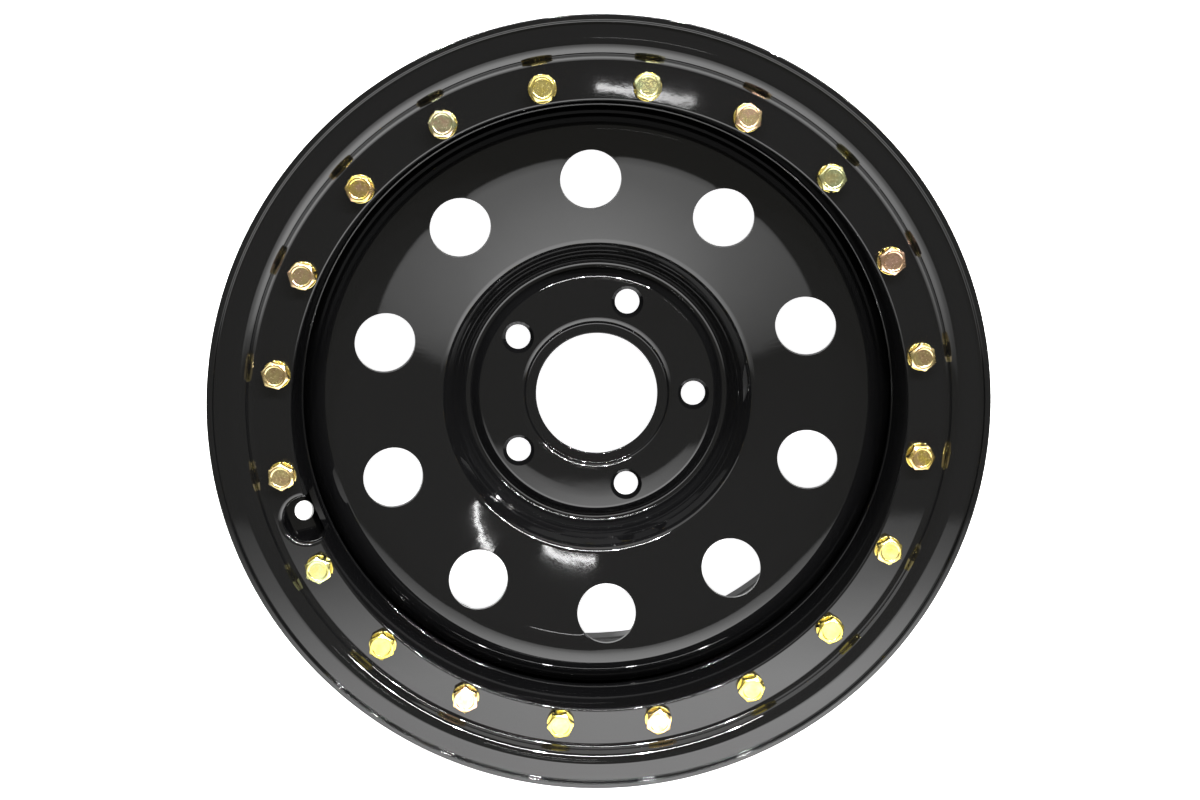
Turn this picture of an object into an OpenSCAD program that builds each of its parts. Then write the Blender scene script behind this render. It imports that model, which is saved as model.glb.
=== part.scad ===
// Steel car wheel with a simulated beadlock ring.
// The wheel lies on its rear flange with its outboard face up.
// The axle line is the Z axis, and z = 0 is the plane of the rear flange's edge.
// Every pressed or rolled sheet is drawn as a path of corners, each with its bend radius,
// and turned about the axle line.

/* [Rim] */
// Width between the two flange walls, on the tyre side
rim_width = 203.2; // [190:0.1:220]
// Diameter of the bead seats where they meet the flange walls
seat_d = 380.2; // [376:0.1:384]
// Sheet thickness of the rim
rim_t = 3.3; // [2.8:0.1:3.8]
// Height of the flanges above the bead seats
flange_h = 17.4; // [16:0.1:19]
// How far each lip stands out from its flange wall, tyre side to lip edge
lip_out = 5.8; // [5:0.1:7]
// Bend radius of the lip on the tyre side
lip_r = 4; // [3.9:0.1:5]
// Radius between the bead seat and the flange wall on the tyre side
heel_r = 6.5; // [5.5:0.1:7.5]
// Slope of the bead seats
seat_slope = 5; // [4:0.5:6]
// Distance from the flange wall to the top of the safety hump
hump_at = 22.5; // [21:0.1:23]
// Height of the safety hump
hump_h = 1.2; // [0.6:0.1:1.6]
// Distance from the front flange wall to the corner where the well's front side starts
well_at = 30.7; // [30:0.1:34]
// Inside diameter of the drop centre well
well_d = 336.6; // [330:0.1:340]
// Slope of the well's front side away from the plane of the wheel
well_side = 28; // [20:1:32]
// Distance from the front flange wall to the rear end of the well
well_end = 95; // [88:1:100]
// Distance from the rear flange wall to the start of the slope into the well
ledge_len = 68; // [55:1:72]

/* [Valve hole] */
// Diameter of the valve hole
valve_d = 11.5; // [10:0.1:12]
// Direction of the valve hole around the wheel, from the right hand side
valve_at = 199.5; // [192:0.5:207]
// Distance of the valve hole from the well's upper corner, along the well's side
valve_up = 10.2; // [9:0.1:11]

/* [Wheel disc] */
// Sheet thickness of the disc
disc_t = 4.5; // [3.5:0.1:5.5]
// Distance from the front flange wall back to the disc's crest
crest_back = 42.7; // [41:0.1:50]
// Distance from the front flange wall back to the hub pad's front face
pad_back = 78.7; // [74:0.1:84]
// Rounding of the crest inward of its top
crest_r = 58; // [45:1:70]
// Slope of the disc's conical face, which carries the vents
cone_slope = 19; // [15:1:22]
// Diameter of the nave's upper edge
nave_d = 180; // [172:1:186]
// Slope of the nave's wall
nave_slope = 53; // [45:1:60]
// Diameter of the hub pad
pad_d = 136; // [132:1:138]
// Slope of the step around the hub pad
pad_slope = 48; // [40:1:55]
// Length of the disc's cylindrical flange behind its bend
flange_len = 24; // [15:1:34]
// Radius of the bend into the disc's flange, on the front
shoulder_r = 13.5; // [9:0.1:16]

/* [Holes in the disc] */
// Diameter of the hub bore
bore_d = 71.6; // [64:0.1:80]
// Diameter of the coined recess around the bore
recess_d = 86; // [84:0.5:92]
// Depth of the coined recess
recess_depth = 1.6; // [0.5:0.1:2.5]
// Diameter of the lug circle
lug_circle_d = 114.3; // [108:0.1:115]
// Number of lug holes
lug_n = 5; // [4:1:6]
// Diameter of a lug hole
lug_d = 15.6; // [13:0.1:17]
// Diameter of the lug seat's cone at the face of the pad
lug_seat_d = 18.6; // [17.5:0.1:20]
// Diameter of the vent circle
vent_circle_d = 247.6; // [242:0.1:252]
// Number of vents
vent_n = 10; // [8:1:12]
// Diameter of a vent
vent_d = 33.5; // [25:0.1:38]

/* [Beadlock ring] */
// Clearance between the ring's skirt and the bore of the well
skirt_gap = 0.3; // [0.1:0.1:1.5]
// Clearance between the edge of the ring's face and the rim, which the weld bridges
face_gap = 0.5; // [0.2:0.1:1.5]
// Sheet thickness of the ring
ring_t = 2.9; // [2:0.1:3]
// Distance from the front flange wall back to the ring's face
ring_back = 3.5; // [2.5:0.1:5]
// Depth of the ring's skirt, from the face to its rear end
skirt_len = 34.5; // [30:0.1:36]
// Radius of the cut-out at the valve
notch_r = 12.6; // [11:0.1:13]
// Distance of the cut-out's centre from the axle line
notch_at = 168.5; // [167:0.1:170]
// Depth of the cut-out below the ring's face
notch_depth = 27; // [24:0.1:28]

/* [Ring screws] */
// Number of screws around the ring
screw_n = 20; // [16:1:22]
// Diameter of the screw circle
screw_circle_d = 346.8; // [345:0.1:350]
// Direction of the first screw around the wheel
screw_first = 10.5; // [0:0.5:18]
// Diameter of the screw's shank
screw_d = 8; // [6:0.1:8]
// Length of the shank under the head
screw_len = 16; // [14:0.5:20]
// Width of the hexagonal head across its flats
head_w = 13; // [12.5:0.1:14]
// Height of the head
head_h = 5.3; // [4.5:0.1:6]
// Outside diameter of the lock washer
washer_d = 14.8; // [14:0.1:15.5]
// Thickness of the lock washer
washer_t = 2; // [1.4:0.1:2.4]

/* [Hidden] */
$fn = 96;

paint = [0.06, 0.06, 0.065];
zinc = [0.86, 0.74, 0.36];

// Places along the axle line
rear_wall = lip_out;
front_wall = rear_wall + rim_width;
face_z = front_wall - ring_back;
skirt_end = face_z - skirt_len;
crest_z = front_wall - crest_back;
pad_z = front_wall - pad_back;

// Radii
seat_r = seat_d / 2;
flange_r = seat_r + flange_h;
well_r = well_d / 2;
ring_r = well_r - skirt_gap - ring_t;
half_t = rim_t / 2;
// The middle of the rim's sheet along a bead seat, at a depth from its flange wall
function seat_mid(depth) = seat_r - half_t / cos(seat_slope) - depth * tan(seat_slope);
face_r = seat_mid(ring_back + ring_t) - half_t / cos(seat_slope) - face_gap;

// Clearances and small roundings
press_gap = 0.05;
thread_gap = 0.05;
washer_gap = 0.15;
edge = 0.8;
ring_corner = 1.5;
notch_round = 2.4;
arc_step = 6;
// Half the angle between two runs that count as one straight run
straight_half = 89.5;
skin = 0.01;

// A direction of length one
function unit(v) = v / norm(v);
// The normal on the left of the step from a to b
function left(a, b) = let (u = unit(b - a)) [-u[1], u[0]];
function xy(p) = [p[0], p[1]];
// Positive where the path a, b, c turns left
function turn(a, b, c) = (b[0] - a[0]) * (c[1] - b[1]) - (b[1] - a[1]) * (c[0] - b[0]);

// A path's corner b moved by d to the left of the path, with its bend radius
function moved(a, b, c, d) =
    let (m = left(xy(a), xy(b)), n = left(xy(b), xy(c)), q = xy(b) + (m + n) * d / (1 + m * n))
    [q[0], q[1], b[2] - d * sign(turn(a, b, c))];
// A path's end p moved by d, where the path runs along the step from a to b
function moved_end(p, a, b, d, r) =
    let (q = xy(p) + left(xy(a), xy(b)) * d)
    [q[0], q[1], r];
// A whole path moved by d to its left, with its ends rounded by r
function side(path, d, r) =
    let (last = len(path) - 1)
    [for (i = [0:last])
        i == 0 ? moved_end(path[0], path[0], path[1], d, r) :
        i == last ? moved_end(path[last], path[last - 1], path[last], d, r) :
        moved(path[i - 1], path[i], path[i + 1], d)];
function reversed(list) = [for (i = [len(list) - 1:-1:0]) list[i]];

// The points of the corner b between a and c, rounded by b's radius
function rounded_corner(a, b, c) =
    let (u = unit(xy(a) - xy(b)), v = unit(xy(c) - xy(b)),
         half = acos(max(-1, min(1, u * v))) / 2)
    b[2] < skin || half > straight_half ? [xy(b)] :
    let (centre = xy(b) + unit(u + v) * b[2] / sin(half),
         start = xy(b) + u * b[2] / tan(half) - centre,
         sweep = (180 - 2 * half) * (turn(a, b, c) > 0 ? 1 : -1),
         from = atan2(start[1], start[0]),
         steps = ceil(abs(sweep) / arc_step))
    [for (i = [0:steps]) centre + b[2] * [cos(from + sweep * i / steps), sin(from + sweep * i / steps)]];
// The points of a closed outline whose corners hold their own radii
function rounded(outline) =
    let (n = len(outline))
    [for (i = [0:n - 1])
        each rounded_corner(outline[(i + n - 1) % n], outline[i], outline[(i + 1) % n])];
// A sheet between two distances to the left of a path
function sheet(path, near, far, r) = rounded(concat(side(path, far, r), reversed(side(path, near, r))));

// The rim's path runs along the middle of its sheet, from the front lip to the rear lip
hump_half = 3.2;
hump_bend = 3;
side_bend = 5;
well_bend = 6;
slope_bend = 18;
well_mid = well_r + half_t;
side_drop = (seat_mid(well_at) - well_mid) * tan(well_side);
rear_mid = seat_mid(hump_at + hump_half);
ledge_slope = 28;
slope_run = (rear_mid - well_mid) / tan(ledge_slope);

// Flange, seat and hump of one edge of the rim, at the distance z and running inward by dir
function rim_edge(z, dir) = [
    [flange_r - half_t, z - dir * lip_out, 0],
    [flange_r - half_t, z - dir * half_t, lip_r - half_t],
    [seat_mid(-half_t), z - dir * half_t, heel_r + half_t],
    [seat_mid(hump_at - hump_half), z + dir * (hump_at - hump_half), hump_bend],
    [seat_mid(hump_at) + hump_h, z + dir * hump_at, hump_bend],
    [seat_mid(hump_at + hump_half), z + dir * (hump_at + hump_half), hump_bend]
];
rim_path = concat(
    rim_edge(front_wall, -1),
    [[seat_mid(well_at), front_wall - well_at, side_bend],
     [well_mid, front_wall - well_at - side_drop, well_bend],
     [well_mid, front_wall - well_end, slope_bend],
     [rear_mid, rear_wall + ledge_len, slope_bend]],
    reversed(rim_edge(rear_wall, 1)));

module rim_section() {
    polygon(sheet(rim_path, -half_t, half_t, edge));
}

// Puts a hole's middle on the well's front side, with its own Z axis square to the sheet
module at_valve() {
    corner = [seat_mid(well_at), front_wall - well_at];
    place = corner + valve_up * [-cos(well_side), -sin(well_side)];
    rotate([0, 0, valve_at])
        translate([place[0], 0, place[1]])
            rotate([0, -well_side, 0])
                children();
}

module rim() {
    color(paint)
    difference() {
        rotate_extrude() rim_section();
        at_valve() cylinder(h = 4 * rim_t, d = valve_d, center = true);
    }
}

// The disc's path runs along its front face, from the bore to the end of its flange
nave_r = nave_d / 2;
pad_r = pad_d / 2;
nave_bend = 8;
pad_bend = disc_t + 0.4;
disc_r = well_r - press_gap;
crest_flat = 0.2;
crest_rad = disc_r - shoulder_r - crest_flat;
// The crest's rounding ends where it has the cone's slope
cone_top = [crest_rad - crest_r * sin(cone_slope), crest_z - crest_r * (1 - cos(cone_slope))];
nave_top_z = cone_top[1] - (cone_top[0] - nave_r) * tan(cone_slope);
// The groove's corner lies where the pad's step meets the nave's wall
groove_r = (nave_top_z - pad_z - nave_r * tan(nave_slope) - pad_r * tan(pad_slope))
           / (-tan(pad_slope) - tan(nave_slope));
groove_z = pad_z - (groove_r - pad_r) * tan(pad_slope);
// The groove's bend takes what the pad's bend leaves of the step
step_len = (groove_r - pad_r) / cos(pad_slope);
groove_bend = (step_len - pad_bend * tan(pad_slope / 2) - crest_flat) / tan((pad_slope + nave_slope) / 2);
// Corner where the tangents of the crest's rounding meet
crest_corner = crest_rad - crest_r * tan(cone_slope / 2);
disc_path = [
    [bore_d / 2, pad_z, 0],
    [pad_r, pad_z, pad_bend],
    [groove_r, groove_z, groove_bend],
    [nave_r, nave_top_z, nave_bend],
    [crest_corner, crest_z, crest_r],
    [disc_r, crest_z, shoulder_r],
    [disc_r, crest_z - shoulder_r - flange_len, 0]
];

disc_edge = 0.6;
recess_bend = 1;
module disc_section() {
    difference() {
        polygon(sheet(disc_path, 0, -disc_t, disc_edge));
        // Coined recess around the bore, with a side that slopes by 45 degrees
        polygon(rounded([[0, pad_z + disc_t, 0], [0, pad_z - recess_depth, 0],
                         [recess_d / 2, pad_z - recess_depth, recess_bend],
                         [recess_d / 2 + recess_depth, pad_z, 0],
                         [recess_d / 2 + recess_depth, pad_z + disc_t, 0]]));
    }
}

module around(n, r, first = 0) {
    for (i = [0:n - 1])
        rotate([0, 0, first + i * 360 / n]) translate([r, 0, 0]) children();
}

lug_cone_h = (lug_seat_d - lug_d) / 2 / tan(30);
vent_first = 20;

module wheel_disc() {
    color(paint)
    difference() {
        rotate_extrude() disc_section();
        around(lug_n, lug_circle_d / 2) {
            translate([0, 0, pad_z - 2 * disc_t]) cylinder(h = 4 * disc_t, d = lug_d);
            translate([0, 0, pad_z - lug_cone_h])
                cylinder(h = lug_cone_h, d1 = lug_d, d2 = lug_seat_d);
        }
        around(vent_n, vent_circle_d / 2, vent_first)
            translate([0, 0, pad_z]) cylinder(h = crest_z - pad_z, d = vent_d);
    }
}

// The ring is an angle section: a flat face and a deep skirt
module ring_section() {
    polygon(rounded([[face_r, face_z, edge / 2], [ring_r, face_z, ring_corner],
                     [ring_r, skirt_end, edge / 2], [ring_r + ring_t, skirt_end, edge / 2],
                     [ring_r + ring_t, face_z - ring_t, edge], [face_r, face_z - ring_t, edge / 2]]));
}

// The cut-out with its rolled edge, from the ring's face down
module notch() {
    rotate([0, 0, valve_at]) translate([notch_at, 0, face_z]) {
        translate([0, 0, -notch_depth]) cylinder(h = notch_depth + 1, r = notch_r);
        rotate_extrude()
            difference() {
                translate([0, -notch_round]) square([notch_r + notch_round, notch_round + 1]);
                translate([notch_r + notch_round, -notch_round]) circle(r = notch_round);
            }
    }
}

// A tapped collar stands behind the sheet at each screw
collar_d = 12;
collar_h = 5;
// The tightened screws point in these directions, in degrees from the right hand side
screw_turns = [40.5, 39.5, 51.5, 24.5, 39.5, 4.5, 56.5, 56.5, 45.5, 45.5,
               31.5, 34.5, 26.5, 28.5, 6.5, 26.5, 11.5, 22.5, 29.5, 1.5];
function screw_turn(i) = screw_turns[i % len(screw_turns)];

module at_screws(z) {
    for (i = [0:screw_n - 1])
        rotate([0, 0, screw_first + i * 360 / screw_n])
            translate([screw_circle_d / 2, 0, z])
                rotate([0, 0, screw_turn(i) - screw_first - i * 360 / screw_n])
                    children();
}

module beadlock_ring() {
    color(paint)
    difference() {
        union() {
            difference() {
                rotate_extrude() ring_section();
                notch();
            }
            at_screws(face_z - ring_t - collar_h) cylinder(h = collar_h + ring_t / 2, d = collar_d);
        }
        at_screws(face_z - 2 * collar_h - ring_t)
            cylinder(h = 3 * collar_h + ring_t, d = screw_d + 2 * thread_gap);
    }
}

// Hexagon screw with a chamfered head and a shallow round dish in its top
dish_d = head_w - 3.2;
dish_depth = 0.45;
dish_wall = 0.5;
chamfer_h = 0.9;
chamfer_d = head_w - 0.4;
// The chamfer's cone would reach the corners at this diameter
cone_d = head_w * 1.16;
module screw() {
    difference() {
        union() {
            intersection() {
                cylinder(h = head_h, d = head_w / cos(30), $fn = 6);
                union() {
                    cylinder(h = head_h - chamfer_h, d = 2 * head_w);
                    translate([0, 0, head_h - chamfer_h])
                        cylinder(h = chamfer_h, d1 = cone_d, d2 = chamfer_d);
                }
            }
            translate([0, 0, -screw_len]) cylinder(h = screw_len + head_h / 2, d = screw_d);
        }
        translate([0, 0, head_h - dish_depth])
            cylinder(h = dish_depth + skin, d1 = dish_d - 2 * dish_wall, d2 = dish_d);
    }
}

module ring_screws() {
    color(zinc) at_screws(face_z + washer_t) screw();
}

// Split lock washer
split_w = 1.6;
split_turn = 30;
module washer() {
    difference() {
        cylinder(h = washer_t, d = washer_d);
        translate([0, 0, -1]) cylinder(h = washer_t + 2, d = screw_d + 2 * washer_gap);
        translate([washer_d / 2, 0, washer_t / 2])
            rotate([split_turn, 0, 0])
                cube([washer_d, split_w, 3 * washer_t], center = true);
    }
}

module lock_washers() {
    color(zinc) at_screws(face_z) washer();
}

// Smooth fillet weld between the ring's face and the rim's heel
fillet_r = 3.9;
fillet_over = 1.5;
fillet_sweep = 64;
fillet_root = 1.6;
fillet_steps = 8;
module ring_face_weld() {
    centre = [face_r - fillet_over, face_z + fillet_r];
    // The section's far side lies within the rim's sheet
    far_r = centre[0] + fillet_r + rim_t / 4;
    color(paint)
    rotate_extrude()
        difference() {
            polygon(concat(
                [for (i = [0:fillet_steps]) let (a = -90 + fillet_sweep * i / fillet_steps)
                    centre + fillet_r * [cos(a), sin(a)]],
                [[far_r, face_z + fillet_r / 2], [far_r, face_z - fillet_root],
                 [centre[0], face_z - fillet_root]]));
            rim_section();
            ring_section();
        }
}

// Round weld bead between the skirt's rear end and the well
bead_r = 2.6;
bead_in = 0.8;
bead_up = 0.7;
module ring_skirt_weld() {
    color(paint)
    rotate_extrude()
        difference() {
            translate([ring_r + bead_in, skirt_end - bead_r + bead_up])
                union() {
                    circle(r = bead_r, $fn = 48);
                    translate([0, -bead_r]) square([well_r + half_t - ring_r - bead_in, 2 * bead_r]);
                }
            rim_section();
            ring_section();
        }
}

// Fillet welds behind the disc's flange, in separate runs
run_n = 8;
run_angle = 30;
run_first = 8;
run_r = 3.4;
run_in = 1.2;
run_up = 0.4;
module disc_welds() {
    end_z = crest_z - shoulder_r - flange_len;
    color(paint)
    for (i = [0:run_n - 1])
        rotate([0, 0, run_first + i * 360 / run_n])
            rotate_extrude(angle = run_angle)
                difference() {
                    translate([disc_r - run_in, end_z - run_up]) circle(r = run_r, $fn = 48);
                    rim_section();
                    disc_section();
                }
}

rim();
wheel_disc();
beadlock_ring();
ring_screws();
lock_washers();
ring_face_weld();
ring_skirt_weld();
disc_welds();
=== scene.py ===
"""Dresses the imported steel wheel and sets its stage.

The wheel gets smooth rolled sheets, yellow zinc screws, lock washers and weld beads. Everything is in
metres, on the wheel's own axes: Z is the axle line and points out of the wheel's face.
"""

import math

import bpy
from bpy.props import FloatProperty, FloatVectorProperty, IntProperty, PointerProperty
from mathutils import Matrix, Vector


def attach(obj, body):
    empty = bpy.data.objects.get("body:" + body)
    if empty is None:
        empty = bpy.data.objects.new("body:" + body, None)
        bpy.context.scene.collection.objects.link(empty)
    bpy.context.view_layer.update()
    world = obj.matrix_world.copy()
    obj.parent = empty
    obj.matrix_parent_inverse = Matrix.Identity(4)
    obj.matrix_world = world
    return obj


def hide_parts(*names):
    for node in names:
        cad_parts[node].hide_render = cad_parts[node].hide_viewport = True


bl_info = {
    "name": "Steel Wheel With Beadlock Ring",
    "version": (1, 0, 0),
    "blender": (4, 5, 0),
    "location": "3D View > Sidebar > Wheel",
    "description": "Models and finishes a steel wheel with a simulated beadlock ring",
    "category": "Object",
}

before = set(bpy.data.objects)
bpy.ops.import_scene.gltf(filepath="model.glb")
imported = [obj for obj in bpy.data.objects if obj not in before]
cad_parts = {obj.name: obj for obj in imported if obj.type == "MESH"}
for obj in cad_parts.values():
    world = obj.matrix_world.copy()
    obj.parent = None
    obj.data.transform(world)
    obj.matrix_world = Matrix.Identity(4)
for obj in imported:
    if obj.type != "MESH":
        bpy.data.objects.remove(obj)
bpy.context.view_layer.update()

MM = 0.001
BODY = "root"
BLACK = "black_paint"
ZINC = "yellow_zinc"

# Fineness of the meshes
SMOOTH_ANGLE = math.radians(25)
STRAIGHT_CORNER = math.radians(89.5)
MERGE_DISTANCE = 0.002 * MM
SEED = 0.01 * MM
BEND_STEP = math.radians(5)
ROUND_STEPS = 240
SMALL_ROUND_STEPS = 96
SCREW_STEPS = 48
VENT_STEPS = 144
NOTCH_STEPS = 128
NOTCH_BEND_STEPS = 8
FILLET_STEPS = 16
BEAD_STEPS = 24

# Disc: two bends that no other piece follows, and the half angle of the lug seats
PAD_REAR_BEND = 0.4 * MM
CROWN_BEND = 90 * MM
LUG_SEAT_HALF = math.radians(30)

# Screw head: the turned profile that cuts the hexagon. Its reach is a share of the corner radius, its other
# places are shares of half the width across flats, and each corner has its bend
HALF_SIXTH = math.radians(30)
HEAD_REACH = 1.3
HEAD_BELOW = 0.2 * MM
CHAMFER_AT = 0.95
CHAMFER_DROP = 1.05 * MM
CHAMFER_FALL = 0.45
TOP_EDGE, TOP_BEND = 0.9, 0.35 * MM
DISH_EDGE, DISH_BEND = 0.78, 0.3 * MM
DISH_FOOT, DISH_FOOT_BEND = 0.72, 0.5 * MM
DISH_DEPTH = 0.45 * MM
HEAD_BEVEL = 0.12 * MM
HEAD_BEVEL_FROM = math.radians(24)

# Fits of the screws and washers, and the washers' slit
DRILL_GAP = 0.05 * MM
WASHER_GAP = 0.15 * MM
WASHER_BEND = 0.3 * MM
SLIT_WIDTH = 1.6 * MM
SLIT_SLANT = math.radians(30)
WASHER_TURN = 137

# How deep the fillet weld's root lies under the ring's face
FILLET_ROOT = 1.6 * MM


def size(name, description, value):
    """A length that a user can change, given in millimetres."""
    return FloatProperty(name=name, description=description, default=value * MM, unit="LENGTH", precision=5)


def slant(name, description, degrees):
    """An angle that a user can change, given in degrees."""
    return FloatProperty(name=name, description=description, default=math.radians(degrees), subtype="ANGLE")


def count(name, description, value):
    """A number of pieces that a user can change."""
    return IntProperty(name=name, description=description, default=value, min=1)


def colour(name, description, value):
    """A colour that a user can change."""
    return FloatVectorProperty(
        name=name, description=description, default=value, subtype="COLOR", size=3, min=0, max=1
    )


class RimSizes(bpy.types.PropertyGroup):
    width: size("Width", "Between the two flange walls, on the tyre side", 203.2)
    seat: size("Seat radius", "Radius of the bead seats at the flange walls", 190.1)
    sheet: size("Sheet", "Sheet thickness", 3.3)
    flange: size("Flange height", "Height of the flanges above the bead seats", 17.4)
    lip_out: size("Lip", "How far each lip stands out from its flange wall", 5.8)
    lip_bend: size("Lip bend", "Bend radius of the lip on the tyre side", 4)
    heel_bend: size("Heel bend", "Radius between seat and flange wall on the tyre side", 6.5)
    seat_slope: slant("Seat slope", "Slope of the bead seats", 5)
    hump_at: size("Hump place", "From the flange wall to the top of the safety hump", 22.5)
    hump: size("Hump height", "Height of the safety hump", 1.2)
    hump_half: size("Hump half", "Half the hump's width", 3.2)
    hump_bend: size("Hump bend", "Bend radius along the hump", 3)
    well_at: size("Well place", "From the front flange wall to the well's upper corner", 30.7)
    well: size("Well radius", "Inside radius of the drop centre well", 168.3)
    well_side: slant("Well side", "Slope of the well's front side", 28)
    well_end: size("Well end", "From the front flange wall to the rear end of the well", 95)
    ledge: size("Ledge", "From the rear flange wall to the slope into the well", 68)
    side_bend: size("Side bend", "Bend radius at the top of the well's side", 5)
    well_bend: size("Well bend", "Bend radius at the foot of the well's side", 6)
    slope_bend: size("Slope bend", "Bend radius at both ends of the rear slope", 18)
    edge: size("Edge", "Rounding of the rim's two edges", 0.8)
    valve: size("Valve hole", "Radius of the valve hole", 5.4)
    valve_at: slant("Valve angle", "Direction of the valve hole around the wheel", 199.5)
    valve_up: size("Valve place", "From the well's upper corner along its side", 11.1)


class DiscSizes(bpy.types.PropertyGroup):
    sheet: size("Sheet", "Sheet thickness", 4.5)
    crest_back: size("Crest depth", "From the front flange wall back to the crest", 42.7)
    pad_back: size("Pad depth", "From the front flange wall back to the hub pad", 78.7)
    crest_bend: size("Crest bend", "Rounding of the crest inward of its top", 58)
    crest_flat: size("Crest flat", "Flat between the crest's two bends", 0.2)
    cone_slope: slant("Cone slope", "Slope of the conical face", 19)
    nave: size("Nave radius", "Radius of the nave's upper edge", 88.7)
    nave_slope: slant("Nave slope", "Slope of the nave's wall", 63)
    nave_bend: size("Nave bend", "Rounding of the nave's upper edge", 8)
    pad: size("Pad radius", "Radius of the hub pad", 69.2)
    pad_slope: slant("Pad slope", "Slope of the step around the hub pad", 44)
    groove_bend: size("Groove bend", "Largest rounding of the groove around the hub pad", 3)
    flange: size("Flange length", "Length of the cylindrical flange behind its bend", 24)
    shoulder: size("Shoulder bend", "Radius of the bend into the flange", 16)
    press_gap: size("Press gap", "Clearance between the disc's flange and the well", 0.05)
    edge: size("Edge", "Rounding of the sheet's edges", 0.6)
    bore: size("Bore radius", "Radius of the hub bore", 35.8)
    recess: size("Recess radius", "Radius of the coined recess at its foot", 41.6)
    recess_depth: size("Recess depth", "Depth of the coined recess", 2.3)
    recess_slope: slant("Recess slope", "Slope of the recess's side", 50)
    recess_bend: size("Recess bend", "Rounding of the recess's foot", 1.2)
    recess_lip: size("Recess lip", "Rounding of the recess's upper edge", 5.2)
    lug_circle: size("Lug circle", "Radius of the lug circle", 57.15)
    lug: size("Lug hole", "Radius of a lug hole", 7.2)
    lug_seat: size("Lug seat", "Radius of the lug seat at the pad's face", 9.3)
    vent_circle: size("Vent circle", "Radius of the vent circle", 124.5)
    vent: size("Vent", "Radius of a vent", 17.0)
    vent_tilt: slant("Vent tilt", "How far the vents' punch leans inwards", 10)
    lug_count: count("Lug holes", "Number of lug holes", 5)
    vent_count: count("Vents", "Number of vents", 10)
    vent_first: slant("First vent", "Direction of the first vent", 20.25)
    ridge: size("Ridge", "Height of the fine press ridges on the nave's wall", 0.14)
    ridge_half: size("Ridge half", "Half the width of a press ridge", 0.9)
    crown_at: size("Crown place", "Radius at which the hub pad starts to fall off", 60)
    crown: slant("Crown", "How much the hub pad falls off towards its edge", 3.2)


class RingSizes(bpy.types.PropertyGroup):
    skirt_gap: size("Skirt gap", "Clearance between the skirt and the well", 0.3)
    face_gap: size("Face gap", "Clearance between the face's edge and the rim", 0.5)
    sheet: size("Sheet", "Sheet thickness", 2.9)
    back: size("Face depth", "From the front flange wall back to the ring's face", 3.5)
    skirt: size("Skirt", "Depth of the skirt from the face", 34.5)
    corner: size("Corner", "Rounding between face and skirt", 1.5)
    edge: size("Edge", "Rounding of the sheet's edges", 0.4)
    notch: size("Cut-out", "Radius of the cut-out at the valve", 12.6)
    notch_at: size("Cut-out place", "From the axle line to the cut-out's centre", 168.5)
    notch_depth: size("Cut-out depth", "Depth of the cut-out below the face", 27)
    notch_bend: size("Cut-out bend", "Rolled edge of the cut-out", 2.4)
    fillet: size("Fillet", "Radius of the fillet weld on the face", 3.9)
    fillet_over: size("Fillet overlap", "How far the fillet reaches over the face", 1.5)
    fillet_sweep: slant("Fillet sweep", "How far the fillet climbs the heel", 64)
    bead: size("Bead", "Radius of the weld bead behind the skirt", 1.4)
    bead_in: size("Bead place", "From the skirt's inside to the bead's centre", 0.8)
    bead_up: size("Bead overlap", "How far the bead reaches up the skirt", 0.7)


class ScrewSizes(bpy.types.PropertyGroup):
    number: count("Screws", "Number of ring screws", 20)
    circle: size("Screw circle", "Radius of the screw circle", 173.4)
    first: slant("First screw", "Direction of the first screw", 10.5)
    shank: size("Shank", "Radius of the shank", 4)
    length: size("Length", "Length of the shank under the head", 16)
    head: size("Head", "Half the head's width across flats", 6.5)
    head_height: size("Head height", "Height of the head", 5.3)
    washer: size("Washer", "Outside radius of the lock washer", 7.4)
    washer_height: size("Washer height", "Thickness of the lock washer", 2)
    collar: size("Collar", "Radius of the tapped collar behind the sheet", 6)
    collar_height: size("Collar height", "Height of the tapped collar", 5)


class Finishes(bpy.types.PropertyGroup):
    paint: colour("Paint", "Black enamel", (0.0025, 0.0025, 0.0027))
    yellow: colour("Yellow zinc", "Yellow passivated zinc", (0.76, 0.60, 0.10))
    pale: colour("Pale zinc", "Thinly passivated zinc", (0.78, 0.68, 0.19))
    pink: colour("Pink zinc", "Pink bloom of the passivation", (0.88, 0.56, 0.42))
    green: colour("Green zinc", "Green bloom of the passivation", (0.64, 0.72, 0.40))
    olive: colour("Olive zinc", "Thickly passivated zinc", (0.82, 0.70, 0.32))
    brown: colour("Brown zinc", "Brown bloom of the passivation", (0.66, 0.45, 0.25))


# Places of the press ridges along the nave's wall, from its upper edge
RIDGE_PLACES = (0.33, 0.5, 0.67)
# Turn of each screw's hexagon, in whole degrees, and what is added to all of them
SCREW_TURNS = (39, 38, 50, 23, 38, 3, 55, 55, 44, 44, 30, 33, 25, 27, 5, 25, 10, 21, 28, 0)
SCREW_TURN_MORE = 1.5
# Ground and bloom of each screw's passivation
SCREW_TINTS = (
    ("olive", "brown"), ("brown", "pink"), ("olive", "green"), ("olive", "pink"), ("olive", "green"),
    ("yellow", "olive"), ("green", "pink"), ("pink", "yellow"), ("pink", "olive"), ("olive", "brown"),
    ("olive", "brown"), ("pale", "green"), ("yellow", "pale"), ("pale", "pink"), ("pale", "yellow"),
    ("yellow", "pink"), ("pale", "yellow"), ("yellow", "pale"), ("yellow", "olive"), ("brown", "yellow"),
)


# ---------------------------------------------------------------- Outlines


def left(a, b):
    """The direction on the left of the step from a to b."""
    step = (b - a).normalized()
    return Vector((-step.y, step.x))


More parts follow.
